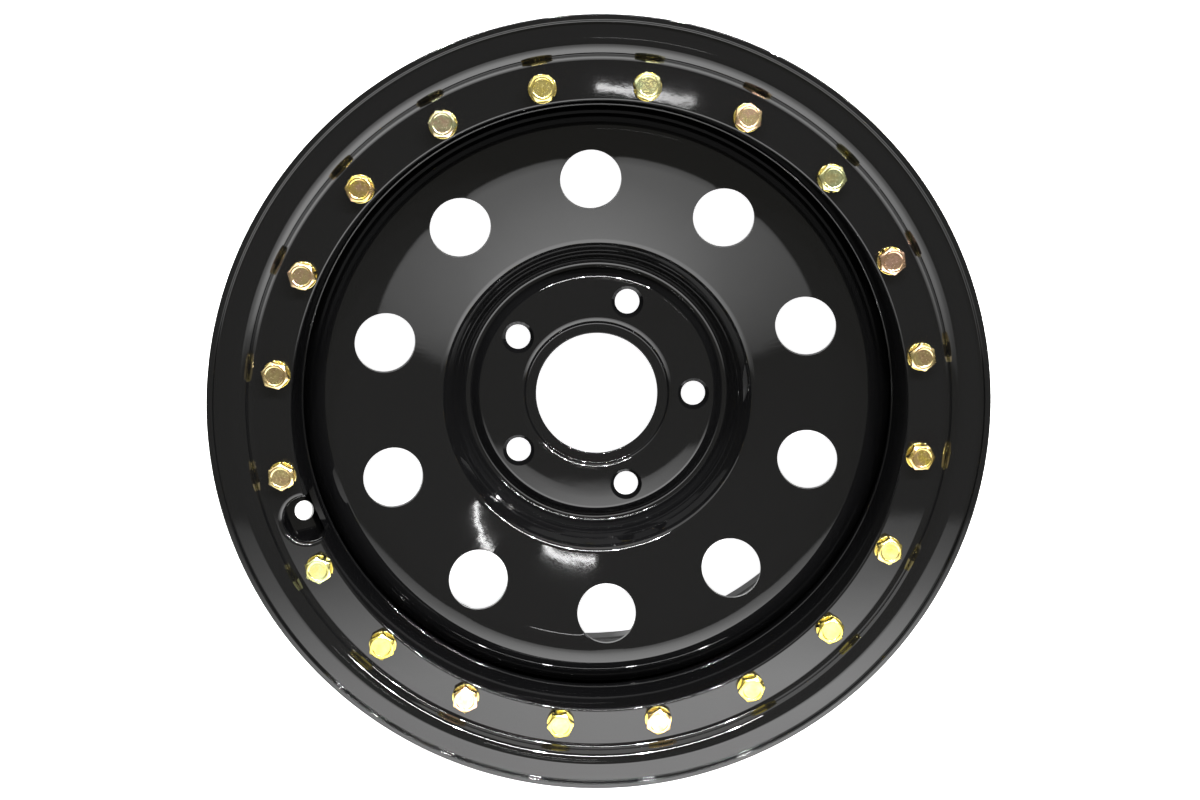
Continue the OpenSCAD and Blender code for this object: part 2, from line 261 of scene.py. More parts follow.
def moved_path(path, distance, end_bend):
    """A path of corners (radius, height, bend), moved to its left, with its ends rounded by end_bend."""
    points = [Vector(corner[:2]) for corner in path]
    last = len(path) - 1
    result = []
    for i, point in enumerate(points):
        if i in (0, last):
            a, b = (points[0], points[1]) if i == 0 else (points[last - 1], points[last])
            place = point + left(a, b) * distance
            result.append((place.x, place.y, end_bend))
            continue
        m, n = left(points[i - 1], point), left(point, points[i + 1])
        place = point + (m + n) * distance / (1 + m.dot(n))
        side = math.copysign(1, (point - points[i - 1]).cross(points[i + 1] - point))
        result.append((place.x, place.y, path[i][2] - distance * side))
    return result


def sheet_outline(path, near, far, edge):
    """The closed outline of a sheet between two distances to the left of a path."""
    return moved_path(path, far, edge) + moved_path(path, near, edge)[::-1]


def bend_of(a, b, c):
    """Where the bend at corner b starts, its centre and its sweep; a plain corner has no centre."""
    here = Vector(b[:2])
    u, v = (Vector(a[:2]) - here).normalized(), (Vector(c[:2]) - here).normalized()
    half = math.acos(max(-1, min(1, u.dot(v)))) / 2
    if b[2] < SEED or half > STRAIGHT_CORNER:
        return here, None, 0
    centre = here + (u + v).normalized() * b[2] / math.sin(half)
    sweep = math.copysign(math.pi - 2 * half, (-u).cross(v))
    return here + u * b[2] / math.tan(half), centre, sweep


def deselect():
    """Leaves edit mode and drops the selection."""
    if bpy.context.object and bpy.context.object.mode != "OBJECT":
        bpy.ops.object.mode_set(mode="OBJECT")
    bpy.ops.object.select_all(action="DESELECT")


def pick(piece):
    """Makes one piece the only selected and the active one."""
    deselect()
    piece.select_set(True)
    bpy.context.view_layer.objects.active = piece


def apply_place(piece):
    """Moves a piece's place, turn and scale into its mesh."""
    pick(piece)
    bpy.ops.object.transform_apply(location=True, rotation=True, scale=True)


def trace(name, outline):
    """Draws a closed outline at Y = 0: straight runs are extruded and bends are spun about their centres."""
    number = len(outline)
    stops = [bend_of(outline[i - 1], outline[i], outline[(i + 1) % number]) for i in range(number)]
    first = here = stops[0][0]
    deselect()
    bpy.ops.mesh.primitive_plane_add(size=SEED, location=(here.x, 0, here.y))
    piece = bpy.context.object
    piece.name = name
    apply_place(piece)
    bpy.ops.object.mode_set(mode="EDIT")
    bpy.ops.mesh.select_mode(type="VERT")
    bpy.ops.mesh.merge(type="CENTER")
    for start, centre, sweep in [*stops, (first, None, 0)]:
        step = start - here
        if step.length > MERGE_DISTANCE:
            bpy.ops.mesh.extrude_region_move(TRANSFORM_OT_translate={"value": (step.x, 0, step.y)})
            here = start
        if centre is not None:
            steps = max(2, math.ceil(abs(sweep) / BEND_STEP))
            bpy.ops.mesh.spin(steps=steps, angle=sweep, center=(centre.x, 0, centre.y), axis=(0, 1, 0))
            arm = here - centre
            cos, sin = math.cos(sweep), math.sin(sweep)
            here = centre + Vector((arm.x * cos - arm.y * sin, arm.x * sin + arm.y * cos))
    bpy.ops.mesh.select_all(action="SELECT")
    bpy.ops.mesh.remove_doubles(threshold=MERGE_DISTANCE)
    bpy.ops.object.mode_set(mode="OBJECT")
    return piece


def close_shell(piece):
    """Merges doubles and points all faces outwards."""
    pick(piece)
    bpy.ops.object.mode_set(mode="EDIT")
    bpy.ops.mesh.select_all(action="SELECT")
    bpy.ops.mesh.remove_doubles(threshold=MERGE_DISTANCE)
    bpy.ops.mesh.normals_make_consistent(inside=False)
    bpy.ops.object.mode_set(mode="OBJECT")


def lathe(name, outline, steps=ROUND_STEPS, middle=(0, 0, 0)):
    """A solid of revolution: the outline, spun once around the line through middle along Z."""
    piece = trace(name, outline)
    bpy.ops.object.mode_set(mode="EDIT")
    bpy.ops.mesh.select_all(action="SELECT")
    bpy.ops.mesh.spin(steps=steps, angle=math.tau, center=middle, axis=(0, 0, 1))
    bpy.ops.object.mode_set(mode="OBJECT")
    close_shell(piece)
    return piece


def round_bar(name, radius, low, high, x=0.0, y=0.0, sides=SMALL_ROUND_STEPS, top_radius=None):
    """A straight bar or cone that stands along Z."""
    deselect()
    bpy.ops.mesh.primitive_cone_add(
        vertices=sides,
        radius1=radius,
        radius2=radius if top_radius is None else top_radius,
        depth=high - low,
        location=(x, y, (low + high) / 2),
    )
    piece = bpy.context.object
    piece.name = name
    apply_place(piece)
    return piece


def join(pieces, name):
    """Joins pieces that don't touch each other into one."""
    deselect()
    for piece in pieces:
        piece.select_set(True)
    bpy.context.view_layer.objects.active = pieces[0]
    if len(pieces) > 1:
        bpy.ops.object.join()
    pieces[0].name = name
    return pieces[0]


def combine(piece, tool, operation):
    """Cuts, unites or intersects a piece with a tool, and removes the tool."""
    pick(piece)
    modifier = piece.modifiers.new("combine", "BOOLEAN")
    modifier.operation = operation
    modifier.solver = "MANIFOLD"
    modifier.object = tool
    before = len(piece.data.vertices)
    bpy.ops.object.modifier_apply(modifier=modifier.name)
    if len(piece.data.vertices) == before:
        raise RuntimeError(f"{operation} of {piece.name} with {tool.name} changed nothing")
    mesh = tool.data
    bpy.data.objects.remove(tool)
    bpy.data.meshes.remove(mesh)


def smooth(piece):
    """Smooth shading that keeps flats flat and real edges sharp."""
    pick(piece)
    bpy.ops.object.shade_smooth_by_angle(angle=SMOOTH_ANGLE)
    bpy.ops.object.modifier_add(type="WEIGHTED_NORMAL")
    piece.modifiers[-1].keep_sharp = True
    bpy.ops.object.modifier_apply(modifier=piece.modifiers[-1].name)


def around(number, radius, first=0.0):
    """Places around the axle line: (angle, x, y)."""
    for i in range(number):
        angle = first + math.tau * i / number
        yield angle, radius * math.cos(angle), radius * math.sin(angle)


def finish_piece(piece, material, slot, *nodes):
    """Gives a piece its finish, puts it on the body and lets it stand for its solids."""
    piece.data.materials.clear()
    piece.data.materials.append(material)
    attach(piece, BODY)
    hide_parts(*nodes)


# ---------------------------------------------------------------- Places shared by the pieces


def rim_of():
    return bpy.context.scene.wheel_rim


def disc_of():
    return bpy.context.scene.wheel_disc


def ring_of():
    return bpy.context.scene.wheel_ring


def screws_of():
    return bpy.context.scene.wheel_screws


def front_wall():
    """Height of the front flange wall, on the tyre side."""
    return rim_of().lip_out + rim_of().width


def seat_middle(depth):
    """Radius of the middle of the rim's sheet along a bead seat, at a depth from its flange wall."""
    r = rim_of()
    return r.seat - r.sheet / 2 / math.cos(r.seat_slope) - depth * math.tan(r.seat_slope)


def ring_inside():
    """Inside radius of the ring's skirt."""
    return rim_of().well - ring_of().skirt_gap - ring_of().sheet


def ring_face():
    """Radius and height of the outer edge of the ring's face."""
    rim, ring = rim_of(), ring_of()
    radius = seat_middle(ring.back + ring.sheet) - rim.sheet / 2 / math.cos(rim.seat_slope) - ring.face_gap
    return radius, front_wall() - ring.back


def rim_edge(wall, inward):
    """Lip, flange wall, seat and hump of one edge of the rim."""
    r = rim_of()
    half = r.sheet / 2
    top = r.seat + r.flange - half
    return [
        (top, wall - inward * r.lip_out, 0),
        (top, wall - inward * half, r.lip_bend - half),
        (seat_middle(-half), wall - inward * half, r.heel_bend + half),
        (seat_middle(r.hump_at - r.hump_half), wall + inward * (r.hump_at - r.hump_half), r.hump_bend),
        (seat_middle(r.hump_at) + r.hump, wall + inward * r.hump_at, r.hump_bend),
        (seat_middle(r.hump_at + r.hump_half), wall + inward * (r.hump_at + r.hump_half), r.hump_bend),
    ]


def rim_outline():
    """The rim's section, from the front lip over the well to the rear lip."""
    r = rim_of()
    half = r.sheet / 2
    well = r.well + half
    drop = (seat_middle(r.well_at) - well) * math.tan(r.well_side)
    front = front_wall()
    path = [
        *rim_edge(front, -1),
        (seat_middle(r.well_at), front - r.well_at, r.side_bend),
        (well, front - r.well_at - drop, r.well_bend),
        (well, front - r.well_end, r.slope_bend),
        (seat_middle(r.hump_at + r.hump_half), r.lip_out + r.ledge, r.slope_bend),
        *rim_edge(r.lip_out, 1)[::-1],
    ]
    return sheet_outline(path, -half, half, r.edge)


def disc_path():
    """The front of the disc's sheet, from the bore to the rear end of its flange."""
    d = disc_of()
    crest_z, pad_z = front_wall() - d.crest_back, front_wall() - d.pad_back
    outside = rim_of().well - d.press_gap
    crest = outside - d.shoulder - d.crest_flat
    cone, nave_wall, pad_step = math.tan(d.cone_slope), math.tan(d.nave_slope), math.tan(d.pad_slope)
    cone_top = crest - d.crest_bend * math.sin(d.cone_slope)
    nave_z = crest_z - d.crest_bend * (1 - math.cos(d.cone_slope)) - (cone_top - d.nave) * cone
    groove = (d.nave * nave_wall + d.pad * pad_step - nave_z + pad_z) / (nave_wall + pad_step)
    pad_bend = d.sheet + PAD_REAR_BEND
    fall = (d.pad - d.crown_at) * math.tan(d.crown)
    step = (groove - d.pad) / math.cos(d.pad_slope)
    room = step - pad_bend * math.tan(d.pad_slope / 2) - d.crest_flat
    groove_bend = min(d.groove_bend, room / math.tan((d.pad_slope + d.nave_slope) / 2))
    return [
        (d.bore, pad_z, 0),
        (d.crown_at, pad_z, CROWN_BEND),
        (d.pad, pad_z - fall, pad_bend),
        (groove, pad_z - (groove - d.pad) * pad_step, groove_bend),
        (d.nave, nave_z, d.nave_bend),
        (crest - d.crest_bend * math.tan(d.cone_slope / 2), crest_z, d.crest_bend),
        (outside, crest_z, d.shoulder),
        (outside, crest_z - d.shoulder - d.flange, 0),
    ]


def disc_outline():
    """The disc's section, with the coined recess in the front of the hub pad."""
    d = disc_of()
    path = disc_path()
    floor_z = path[0][1] - d.recess_depth
    lip = d.recess + d.recess_depth / math.tan(d.recess_slope)
    recess = [(lip, path[0][1], d.recess_lip), (d.recess, floor_z, d.recess_bend), (d.bore, floor_z, d.edge)]
    front = moved_path(path, 0, d.edge)[:0:-1]
    nave = front.index(next(corner for corner in front if abs(corner[0] - d.nave) < SEED))
    foot, top = Vector(front[nave + 1][:2]), Vector(front[nave][:2])
    wall, out = (foot - top).normalized(), left(foot, top)
    ridges = []
    for share in RIDGE_PLACES:
        middle = top.lerp(foot, share)
        for step, height in ((-1, 0), (0, d.ridge), (1, 0)):
            point = middle + wall * step * d.ridge_half + out * height
            ridges.append((point.x, point.y, 2 * d.ridge_half))
    return moved_path(path, -d.sheet, d.edge) + front[: nave + 1] + ridges + front[nave + 1 :] + recess


def ring_outline():
    """The ring's section: a flat face and a deep skirt."""
    g = ring_of()
    inside = ring_inside()
    face, face_z = ring_face()
    skirt_z = face_z - g.skirt
    return [
        (face, face_z, g.edge),
        (inside, face_z, g.corner),
        (inside, skirt_z, g.edge),
        (inside + g.sheet, skirt_z, g.edge),
        (inside + g.sheet, face_z - g.sheet, 2 * g.edge),
        (face, face_z - g.sheet, g.edge),
    ]


# ---------------------------------------------------------------- Finishes


# Noise patterns: scale, detail and roughness
PEEL_FINE = (450, 2.0, 0.5)
PEEL_COARSE = (70, 1.0, 0.5)
PEEL_MASK = (14, 3.0, 0.5)
ZINC_CLOUD = (150, 3.0, 0.6)
ZINC_GRAIN = (900, 2.0, 0.5)
# The part of a noise pattern's range that is used
NOISE_LOW, NOISE_HIGH = 0.3, 0.7
# Enamel: heights of its waves, roughness from thick to thin paint, index of refraction
PAINT_FINE = 0.0035 * MM
PAINT_COARSE = 0.018 * MM
PAINT_ROUGHNESS = (0.03, 0.05)
PAINT_IOR = 1.52
# Zinc: height of its grain and roughness
ZINC_HEIGHT = 0.012 * MM
ZINC_ROUGHNESS = (0.18, 0.28)


def effect_group(name, inputs, outputs):
    """An empty shader group with its sockets: (group, input node, output node)."""
    group = bpy.data.node_groups.new(name, "ShaderNodeTree")
    for label, kind, value in inputs:
        socket = group.interface.new_socket(label, in_out="INPUT", socket_type=kind)
        socket.default_value = value
    for label, kind in outputs:
        group.interface.new_socket(label, in_out="OUTPUT", socket_type=kind)
    return group, group.nodes.new("NodeGroupInput"), group.nodes.new("NodeGroupOutput")


def noise(tree, coordinates, scale, detail, roughness):
    """A noise pattern over the coordinates."""
    node = tree.nodes.new("ShaderNodeTexNoise")
    node.inputs["Scale"].default_value = scale
    node.inputs["Detail"].default_value = detail
    node.inputs["Roughness"].default_value = roughness
    tree.links.new(coordinates, node.inputs["Vector"])
    return node


def orange_peel():
    """The shallow waves of sprayed enamel, as a normal, and a slow mask of thicker and thinner paint."""
    if "orange_peel" in bpy.data.node_groups:
        return bpy.data.node_groups["orange_peel"]
    group, taken, given = effect_group(
        "orange_peel",
        [
            ("Fine Height", "NodeSocketFloat", PAINT_FINE),
            ("Coarse Height", "NodeSocketFloat", PAINT_COARSE),
        ],
        [("Normal", "NodeSocketVector"), ("Mask", "NodeSocketFloat")],
    )
    place = group.nodes.new("ShaderNodeTexCoord").outputs["Object"]
    fine = noise(group, place, *PEEL_FINE)
    coarse = noise(group, place, *PEEL_COARSE)
    mask = noise(group, place, *PEEL_MASK)
    normal = None
    for source, height in ((coarse, "Coarse Height"), (fine, "Fine Height")):
        bump = group.nodes.new("ShaderNodeBump")
        bump.inputs["Strength"].default_value = 1
        group.links.new(taken.outputs[height], bump.inputs["Distance"])
        group.links.new(source.outputs["Fac"], bump.inputs["Height"])
        if normal:
            group.links.new(normal, bump.inputs["Normal"])
        normal = bump.outputs["Normal"]
    group.links.new(normal, given.inputs["Normal"])
    group.links.new(mask.outputs["Fac"], given.inputs["Mask"])
    return group


def new_material(name):
    """A node material: (material, tree, its Principled BSDF)."""
    material = bpy.data.materials.new(name)
    material.use_nodes = True
    tree = material.node_tree
    return material, tree, tree.nodes["Principled BSDF"]


def mapped(tree, source, low, high):
    """A noise value spread between low and high."""
    node = tree.nodes.new("ShaderNodeMapRange")
    node.inputs["From Min"].default_value = NOISE_LOW
    node.inputs["From Max"].default_value = NOISE_HIGH
    node.inputs["To Min"].default_value = low
    node.inputs["To Max"].default_value = high
    tree.links.new(source, node.inputs["Value"])
    return node.outputs["Result"]


def black_enamel():
    """Gloss black enamel over pressed steel."""
    if "black_enamel" in bpy.data.materials:
        return bpy.data.materials["black_enamel"]
    material, tree, surface = new_material("black_enamel")
    peel = tree.nodes.new("ShaderNodeGroup")
    peel.node_tree = orange_peel()
    peel.inputs["Fine Height"].default_value = PAINT_FINE
    peel.inputs["Coarse Height"].default_value = PAINT_COARSE
    surface.inputs["Base Color"].default_value = (*bpy.context.scene.wheel_finishes.paint, 1)
    surface.inputs["IOR"].default_value = PAINT_IOR
    tree.links.new(mapped(tree, peel.outputs["Mask"], *PAINT_ROUGHNESS), surface.inputs["Roughness"])
    tree.links.new(peel.outputs["Normal"], surface.inputs["Normal"])
    return material


def passivation():
    """The cloudy bloom of passivated zinc: its colour, and a fine grain."""
    if "passivation" in bpy.data.node_groups:
        return bpy.data.node_groups["passivation"]
    group, taken, given = effect_group(
        "passivation",
        [
            ("Ground", "NodeSocketColor", (0.6, 0.5, 0.2, 1)),
            ("Bloom", "NodeSocketColor", (0.6, 0.3, 0.3, 1)),
        ],
        [("Color", "NodeSocketColor"), ("Grain", "NodeSocketFloat")],
    )
    place = group.nodes.new("ShaderNodeTexCoord").outputs["Object"]
    cloud = noise(group, place, *ZINC_CLOUD)
    mix = group.nodes.new("ShaderNodeMix")
    mix.data_type = "RGBA"
    group.links.new(mapped(group, cloud.outputs["Fac"], 0, 1), mix.inputs["Factor"])
    group.links.new(taken.outputs["Ground"], mix.inputs[6])
    group.links.new(taken.outputs["Bloom"], mix.inputs[7])
    group.links.new(mix.outputs[2], given.inputs["Color"])
    grain = noise(group, place, *ZINC_GRAIN)
    group.links.new(grain.outputs["Fac"], given.inputs["Grain"])
    return group


def zinc(ground, bloom):
    """Passivated zinc with one tint over another."""
    name = f"zinc_{ground}_{bloom}"
    if name in bpy.data.materials:
        return bpy.data.materials[name]
    material, tree, surface = new_material(name)
    finishes = bpy.context.scene.wheel_finishes
    film = tree.nodes.new("ShaderNodeGroup")
    film.node_tree = passivation()
    film.inputs["Ground"].default_value = (*getattr(finishes, ground), 1)
    film.inputs["Bloom"].default_value = (*getattr(finishes, bloom), 1)
    tree.links.new(film.outputs["Color"], surface.inputs["Base Color"])
    surface.inputs["Metallic"].default_value = 1
    tree.links.new(mapped(tree, film.outputs["Grain"], *ZINC_ROUGHNESS), surface.inputs["Roughness"])
    bump = tree.nodes.new("ShaderNodeBump")
    bump.inputs["Distance"].default_value = ZINC_HEIGHT
    tree.links.new(film.outputs["Grain"], bump.inputs["Height"])
    tree.links.new(bump.outputs["Normal"], surface.inputs["Normal"])
    return material


# ---------------------------------------------------------------- Operators


class WHEEL_OT_rim(bpy.types.Operator):
    """Rolls the rim from one sheet and drills its valve hole"""

    bl_idname = "wheel.rim"
    bl_label = "Rim"

    def execute(self, context):
        r = rim_of()
        piece = lathe("rim_sheet", rim_outline())
        along = Vector((math.cos(r.well_side), math.sin(r.well_side))) * r.valve_up
        radius = seat_middle(r.well_at) - along.x
        deselect()
        bpy.ops.mesh.primitive_cylinder_add(
            vertices=SMALL_ROUND_STEPS,
            radius=r.valve,
            depth=4 * r.sheet,
            location=(
                radius * math.cos(r.valve_at),
                radius * math.sin(r.valve_at),
                front_wall() - r.well_at - along.y,
            ),
            rotation=(0, -r.well_side, r.valve_at),
        )
        drill = bpy.context.object
        apply_place(drill)
        combine(piece, drill, "DIFFERENCE")
        smooth(piece)
        finish_piece(piece, black_enamel(), BLACK, "rim")
        return {"FINISHED"}


class WHEEL_OT_disc(bpy.types.Operator):
    """Presses the wheel disc and punches its bore, recess, lug holes and vents"""

    bl_idname = "wheel.disc"
    bl_label = "Wheel disc"

    def execute(self, context):
        d = disc_of()
        path = disc_path()
        pad_z = path[0][1]
        piece = lathe("disc_pressing", disc_outline())
        tools = []
        cone = (d.lug_seat - d.lug) / math.tan(LUG_SEAT_HALF)
        top = 2 * d.lug_seat - d.lug
        for _, x, y in around(d.lug_count, d.lug_circle):
            tools.append(round_bar("lug_tool", d.lug, pad_z - 2 * d.sheet, pad_z + d.sheet, x, y))
        combine(piece, join(tools, "hub_tools"), "DIFFERENCE")
        seats = [
            round_bar("seat_tool", d.lug, pad_z - cone, pad_z + cone, x, y, top_radius=top)
            for _, x, y in around(d.lug_count, d.lug_circle)
        ]
        combine(piece, join(seats, "seat_tools"), "DIFFERENCE")
        nave, nave_z, _ = path[4]
        vent_z = nave_z + (d.vent_circle - nave) * math.tan(d.cone_slope)
        vents = []
        for angle, x, y in around(d.vent_count, d.vent_circle, d.vent_first):
            deselect()
            bpy.ops.mesh.primitive_cylinder_add(
                vertices=VENT_STEPS,
                radius=d.vent,
                depth=5 * d.sheet,
                location=(x, y, vent_z),
                rotation=(0, -d.vent_tilt, angle),
            )
            vents.append(bpy.context.object)
            apply_place(vents[-1])
        combine(piece, join(vents, "vent_tools"), "DIFFERENCE")
        smooth(piece)
        finish_piece(piece, black_enamel(), BLACK, "wheel_disc")
        return {"FINISHED"}


class WHEEL_OT_ring(bpy.types.Operator):
    """Makes the beadlock ring with its cut-out, collars and screw holes"""

    bl_idname = "wheel.ring"
    bl_label = "Beadlock ring"

    def execute(self, context):
        g, s = ring_of(), screws_of()
        _, face_z = ring_face()
        piece = lathe("beadlock_ring_sheet", ring_outline())
        mouth = g.notch + g.notch_bend
        notch = [
            (g.notch_at, face_z + g.sheet, 0),
            (g.notch_at, face_z - g.notch_depth, 0),
            (g.notch_at + g.notch, face_z - g.notch_depth, 0),
            (g.notch_at + g.notch, face_z - g.notch_bend, 0),
        ]
        for i in range(1, NOTCH_BEND_STEPS + 1):
            angle = math.radians(90) * i / NOTCH_BEND_STEPS
            notch.append(
                (
                    g.notch_at + mouth - g.notch_bend * math.cos(angle),
                    face_z - g.notch_bend + g.notch_bend * math.sin(angle),
                    0,
                )
            )
        notch.append((g.notch_at + mouth, face_z + g.sheet, 0))
        tool = lathe("notch_tool", notch, NOTCH_STEPS, (g.notch_at, 0, 0))
        tool.rotation_euler = (0, 0, rim_of().valve_at)
        apply_place(tool)
        combine(piece, tool, "DIFFERENCE")
        behind = face_z - g.sheet
        places = list(around(s.number, s.circle, s.first))
        low = behind - s.collar_height
        collars = [
            round_bar("collar", s.collar, low, behind + g.sheet / 2, x, y, SCREW_STEPS) for _, x, y in places
        ]
        combine(piece, join(collars, "collars"), "UNION")
        hole, low = s.shank + DRILL_GAP, behind - 2 * s.collar_height
        drills = [round_bar("drill", hole, low, face_z + g.sheet, x, y, SCREW_STEPS) for _, x, y in places]
        combine(piece, join(drills, "drills"), "DIFFERENCE")
        smooth(piece)
        finish_piece(piece, black_enamel(), BLACK, "beadlock_ring")
        return {"FINISHED"}


def place_copy(pattern, name, turn, x, y, z):
    """A copy of a pattern piece with a mesh of its own, turned and put at its place."""
    piece = pattern.copy()
    piece.data = pattern.data.copy()
    piece.name = name
    bpy.context.scene.collection.objects.link(piece)
    piece.rotation_euler = (0, 0, turn)
    piece.location = (x, y, z)
    apply_place(piece)
    return piece


def remove(piece):
    """Deletes a piece with its mesh."""
    mesh = piece.data
    bpy.data.objects.remove(piece)
    bpy.data.meshes.remove(mesh)


class WHEEL_OT_screws(bpy.types.Operator):
    """Makes one hex screw and sets a copy at each place of the screw circle"""

    bl_idname = "wheel.screws"
    bl_label = "Ring screws"

    def execute(self, context):
        s = screws_of()
        _, face_z = ring_face()
        corner, top = s.head / math.cos(HALF_SIXTH), s.head_height
        hexagon = round_bar("hexagon", corner, 0, top, 0, 0, 6)
        hexagon.rotation_euler = (0, 0, HALF_SIXTH)
        apply_place(hexagon)
        reach = HEAD_REACH * corner
        profile = [
            (0, -HEAD_BELOW, 0),
            (reach, -HEAD_BELOW, 0),
            (reach, top - CHAMFER_DROP - CHAMFER_FALL * (reach - CHAMFER_AT * s.head), 0),
            (TOP_EDGE * s.head, top, TOP_BEND),
            (DISH_EDGE * s.head, top, DISH_BEND),
            (DISH_FOOT * s.head, top - DISH_DEPTH, DISH_FOOT_BEND),
            (0, top - DISH_DEPTH, 0),
        ]
        body = lathe("head_body", profile, SMALL_ROUND_STEPS)
        combine(hexagon, body, "INTERSECT")
        pick(hexagon)
        bevel = hexagon.modifiers.new("bevel", "BEVEL")
        bevel.width = HEAD_BEVEL
        bevel.segments = 2
        bevel.limit_method = "ANGLE"
        bevel.angle_limit = HEAD_BEVEL_FROM
        bpy.ops.object.modifier_apply(modifier=bevel.name)
        shank = round_bar("shank", s.shank, -s.length, top / 2, 0, 0, SCREW_STEPS)
        combine(hexagon, shank, "UNION")
        smooth(hexagon)
        for i, (_, x, y) in enumerate(around(s.number, s.circle, s.first)):
            turn = math.radians(SCREW_TURNS[i % len(SCREW_TURNS)] + SCREW_TURN_MORE)
            piece = place_copy(hexagon, f"ring_screw_{i + 1:02d}", turn, x, y, face_z + s.washer_height)
            finish_piece(piece, zinc(*SCREW_TINTS[i % len(SCREW_TINTS)]), ZINC, "ring_screws")
        remove(hexagon)
        return {"FINISHED"}


class WHEEL_OT_washers(bpy.types.Operator):
    """Makes one split lock washer and sets a copy under each screw head"""

    bl_idname = "wheel.washers"
    bl_label = "Lock washers"

    def execute(self, context):
        s = screws_of()
        _, face_z = ring_face()
        inside = s.shank + WASHER_GAP
        section = [
            (inside, 0, WASHER_BEND),
            (s.washer, 0, WASHER_BEND),
            (s.washer, s.washer_height, WASHER_BEND),
            (inside, s.washer_height, WASHER_BEND),
        ]
        pattern = lathe("washer", section, SMALL_ROUND_STEPS)
        deselect()
        bpy.ops.mesh.primitive_cube_add(
            size=1,
            scale=(s.washer, SLIT_WIDTH, 3 * s.washer_height),
            location=(s.washer / 2, 0, s.washer_height / 2),
            rotation=(SLIT_SLANT, 0, 0),
        )
        slit = bpy.context.object
        apply_place(slit)
        combine(pattern, slit, "DIFFERENCE")
        smooth(pattern)
        for i, (_, x, y) in enumerate(around(s.number, s.circle, s.first)):
            turn = math.radians((i * WASHER_TURN) % 360)
            piece = place_copy(pattern, f"lock_washer_{i + 1:02d}", turn, x, y, face_z)
            finish_piece(piece, zinc("yellow", "olive"), ZINC, "lock_washers")
        remove(pattern)
        return {"FINISHED"}


class WHEEL_OT_welds(bpy.types.Operator):
    """Lays the fillet on the ring's face and the bead behind its skirt, and gives the disc's weld runs the
    enamel
    """

    bl_idname = "wheel.welds"
    bl_label = "Welds"

    def execute(self, context):
        g, rim = ring_of(), rim_of()
        face, face_z = ring_face()
        centre = Vector((face - g.fillet_over, face_z + g.fillet))
        far = centre.x + g.fillet + rim.sheet / 4
        outline = [(far, face_z - FILLET_ROOT, 0), (centre.x, face_z - FILLET_ROOT, 0)]
        for i in range(FILLET_STEPS + 1):
            angle = math.radians(-90) + g.fillet_sweep * i / FILLET_STEPS
            outline.append(
                (centre.x + g.fillet * math.cos(angle), centre.y + g.fillet * math.sin(angle), 0)
            )
        outline.append((far, face_z + g.fillet / 2, 0))
        fillet = lathe("face_fillet", outline)
        smooth(fillet)
        finish_piece(fillet, black_enamel(), BLACK, "ring_face_weld")

        middle = Vector((ring_inside() + g.bead_in, face_z - g.skirt - g.bead + g.bead_up))
        outline = [(rim.well + rim.sheet / 2, middle.y + g.bead, 0)]
        for i in range(BEAD_STEPS + 1):
            angle = math.radians(90) + math.pi * i / BEAD_STEPS
            outline.append((middle.x + g.bead * math.cos(angle), middle.y + g.bead * math.sin(angle), 0))
        outline.append((rim.well + rim.sheet / 2, middle.y - g.bead, 0))
        bead = lathe("skirt_bead", outline)
        smooth(bead)
        finish_piece(bead, black_enamel(), BLACK, "ring_skirt_weld")

        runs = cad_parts["disc_welds"]
        runs.data.materials.clear()
        runs.data.materials.append(black_enamel())
        return {"FINISHED"}


# ---------------------------------------------------------------- Stage

# The room's lights, found from their reflections in the paint. Radiances are those of white faces.
CEILING = 2.2
LAMPS_X = (2.72, 2.11, 1.28, 0.57, -0.19, -0.92)
LAMPS_Y = 2.0
LAMP_POWER = 180
LAMP_RADIUS = 0.045
# Name, place, aim, width, height and radiance
STRIP = ("ceiling_strip", (0.9, LAMPS_Y, CEILING), (0.9, 0, 0.1), 4.2, 0.04, 190.0)
WALL = ("far_wall", (-0.44, 1.43, 0.62), (0, 0, 0.3), 4.6, 0.95, 1.5)
# Place, length, width, turn in degrees and radiance of each tube
TUBES = (
    (0.165, 0.289, 0.19, 0.011, -9, 20),
    (0.287, 0.728, 0.37, 0.008, -9, 60),
    (0.82, 0.44, 0.3, 0.008, -28, 44),
)

# The white table under the standing wheel, as an upright sheet of light: its place, its brightest value, and
# its shares of that by height and from left to right
TABLE_Y = -0.2085
TABLE_HEIGHT = 0.86
TABLE_LEFT, TABLE_RIGHT = -0.55, 0.51
TABLE_STRENGTH = 4.7
TABLE_BY_HEIGHT = (
    (0, 0.95), (0.31, 0.95), (0.43, 1), (0.52, 0.85), (0.62, 0.62),
    (0.7, 0.45), (0.82, 0.34), (0.92, 0.27), (0.975, 0.05), (1, 0),
)
TABLE_BY_SIDE = (
    (0, 0), (0.19, 0.35), (0.33, 0.66), (0.41, 0.8), (0.52, 0.97),
    (0.65, 1), (0.76, 0.95), (0.86, 0.6), (0.92, 0.2), (1, 0),
)

FLOOR_RADIUS = 6
FLOOR_PAINT = (0.8, 0.8, 0.8, 1)
FLOOR_ROUGHNESS = 0.9
WHITE = (1, 1, 1, 1)
# How bright floor and sky are in reflections; the camera sees both as white
FLOOR_REFLECTED = 0.3
SKY_REFLECTED = 0.23
SKY_TINT = (1.0, 0.98, 0.88, 1)

CAMERA_PLACE = (-0.03155, 0.12424, 0.93476)
CAMERA_TURN = (-9.0266, -2.3423, 0.2039)
CAMERA_LENS, CAMERA_SENSOR = 41.517, 36


